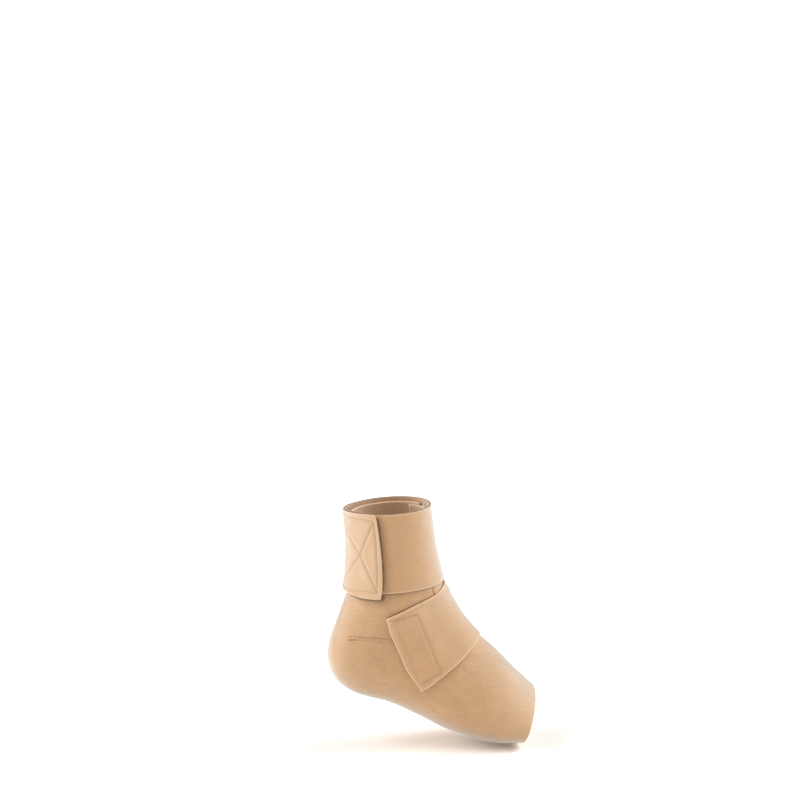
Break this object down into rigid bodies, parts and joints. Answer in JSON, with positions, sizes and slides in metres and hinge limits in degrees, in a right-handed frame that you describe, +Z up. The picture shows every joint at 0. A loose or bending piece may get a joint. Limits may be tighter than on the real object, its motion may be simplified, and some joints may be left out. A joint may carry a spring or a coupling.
{
  "type": "ankle foot compression wrap",
  "caption": "Open-toe compression wrap of beige stretch cloth for a foot and ankle: sleeve with heel pocket, strap over the instep and overlapping ankle band held by hook tape.",
  "frame": {"origin": "centre of the ankle opening, in the plane of the ankle band's top edge", "axes": "+X towards the toes, +Y towards the inner side of the foot, +Z up the leg"},
  "size_m": [0.1863, 0.0891, 0.217],
  "materials": {
    "sleeve_cloth": "brushed stretch knit",
    "panel_cloth": "smooth stretch knit",
    "strap_cloth": "brushed laminated cloth",
    "band_cloth": "brushed laminated cloth",
    "hook_tape": "woven tape with hooks"
  },
  "bodies": {
    "root": {"foot_sleeve": "sleeve_cloth", "front_panel": "panel_cloth", "instep_strap": "strap_cloth", "instep_hook_patch": "hook_tape", "ankle_band": "band_cloth", "ankle_hook_patch": "hook_tape"}
  },
  "joints": []
}
